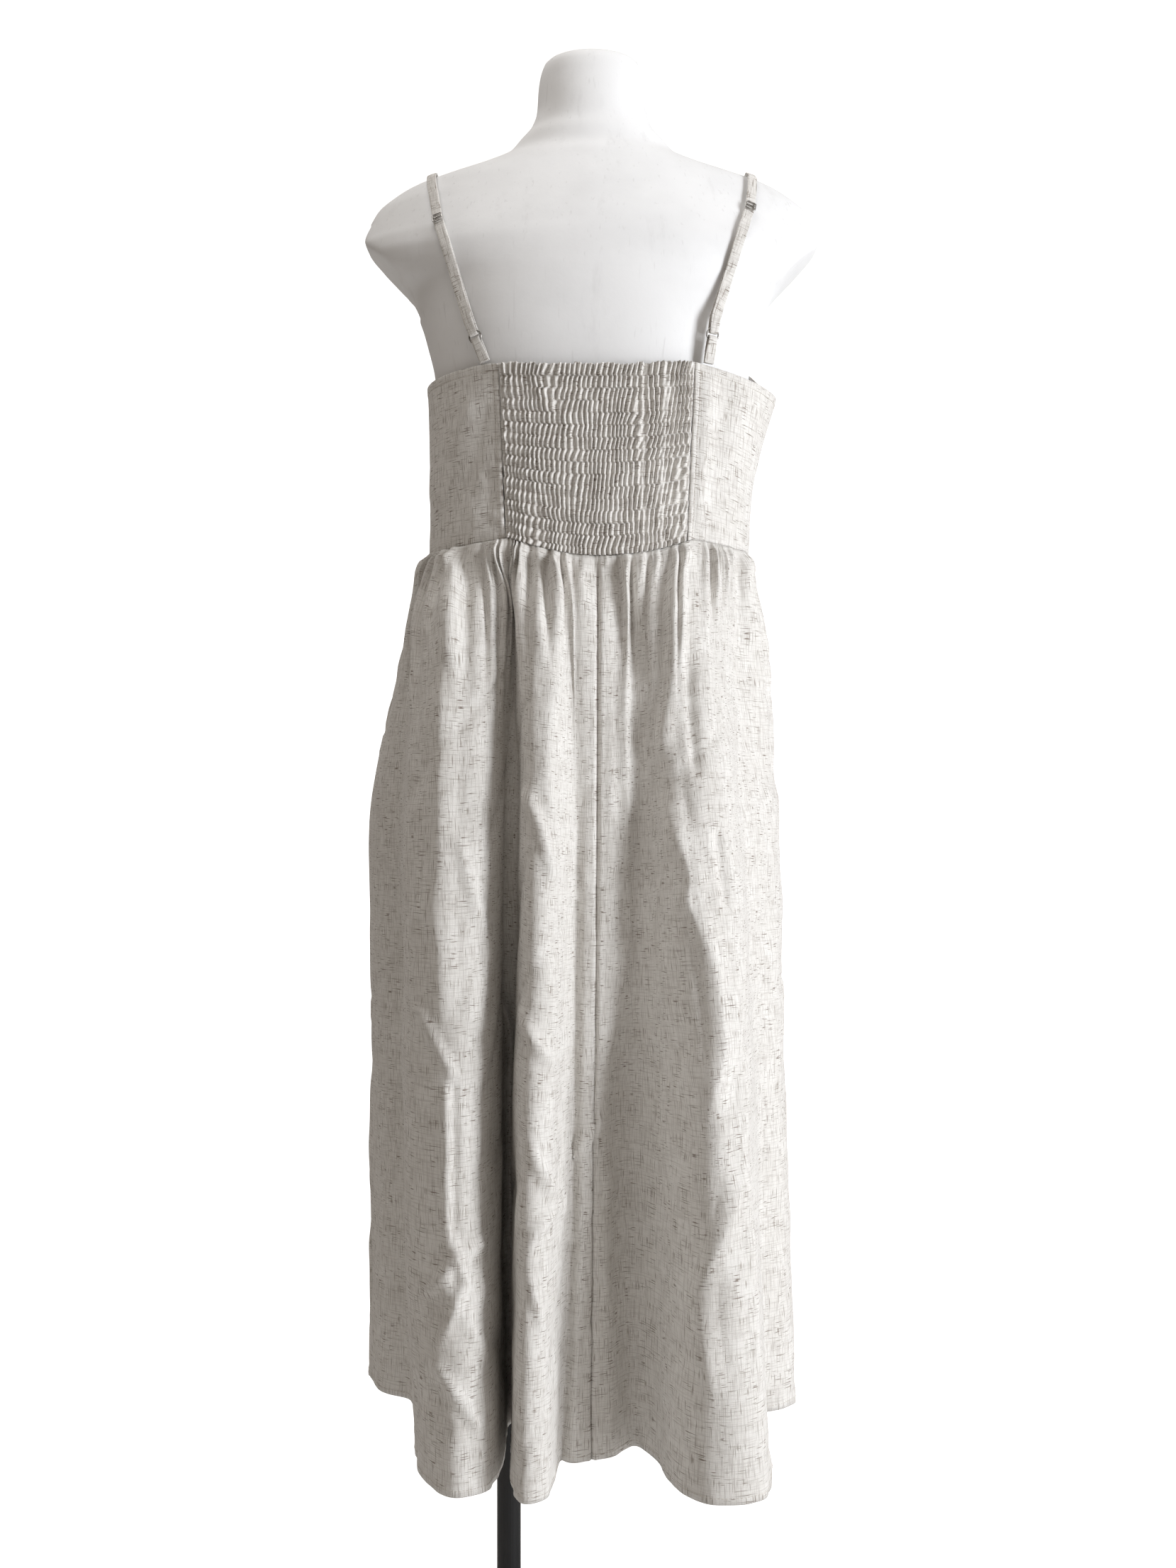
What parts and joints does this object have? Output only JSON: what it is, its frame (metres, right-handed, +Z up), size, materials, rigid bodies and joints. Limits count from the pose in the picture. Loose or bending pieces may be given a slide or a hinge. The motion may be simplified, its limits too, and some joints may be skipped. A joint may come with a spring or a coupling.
{
  "type": "sleeveless gathered midi dress on a limbless dress form with a stand",
  "caption": "Thin strap dress with a shirred back panel and a full gathered midi skirt, worn on a smooth limbless dress form with an off-centre pole and a round floor plate.",
  "frame": {"origin": "centre of the stand plate's underside, on the floor", "axes": "+Z up; -Y is where the dress's back faces; +X is the wearer's right"},
  "size_m": [0.4292, 0.3819, 1.513],
  "materials": {
    "linen": "matt plain weave linen blend with slubs and grey-brown flecks",
    "form_shell": "matt white shell with faint scuffs",
    "stand_black": "satin black powder coat",
    "strap_metal": "dark nickel plate"
  },
  "bodies": {
    "root": {"dress_form": "form_shell", "stand_pole": "stand_black", "stand_base": "stand_black", "bodice_front": "linen", "bodice_back_left": "linen", "bodice_back_right": "linen", "bodice_back_shirred": "linen", "skirt_front": "linen", "skirt_back_left": "linen", "skirt_back_right": "linen", "strap_left": "linen", "strap_right": "linen", "strap_tab_left": "linen", "strap_tab_right": "linen", "strap_slider_left": "strap_metal", "strap_slider_right": "strap_metal", "strap_ring_left": "strap_metal", "strap_ring_right": "strap_metal"}
  },
  "joints": []
}
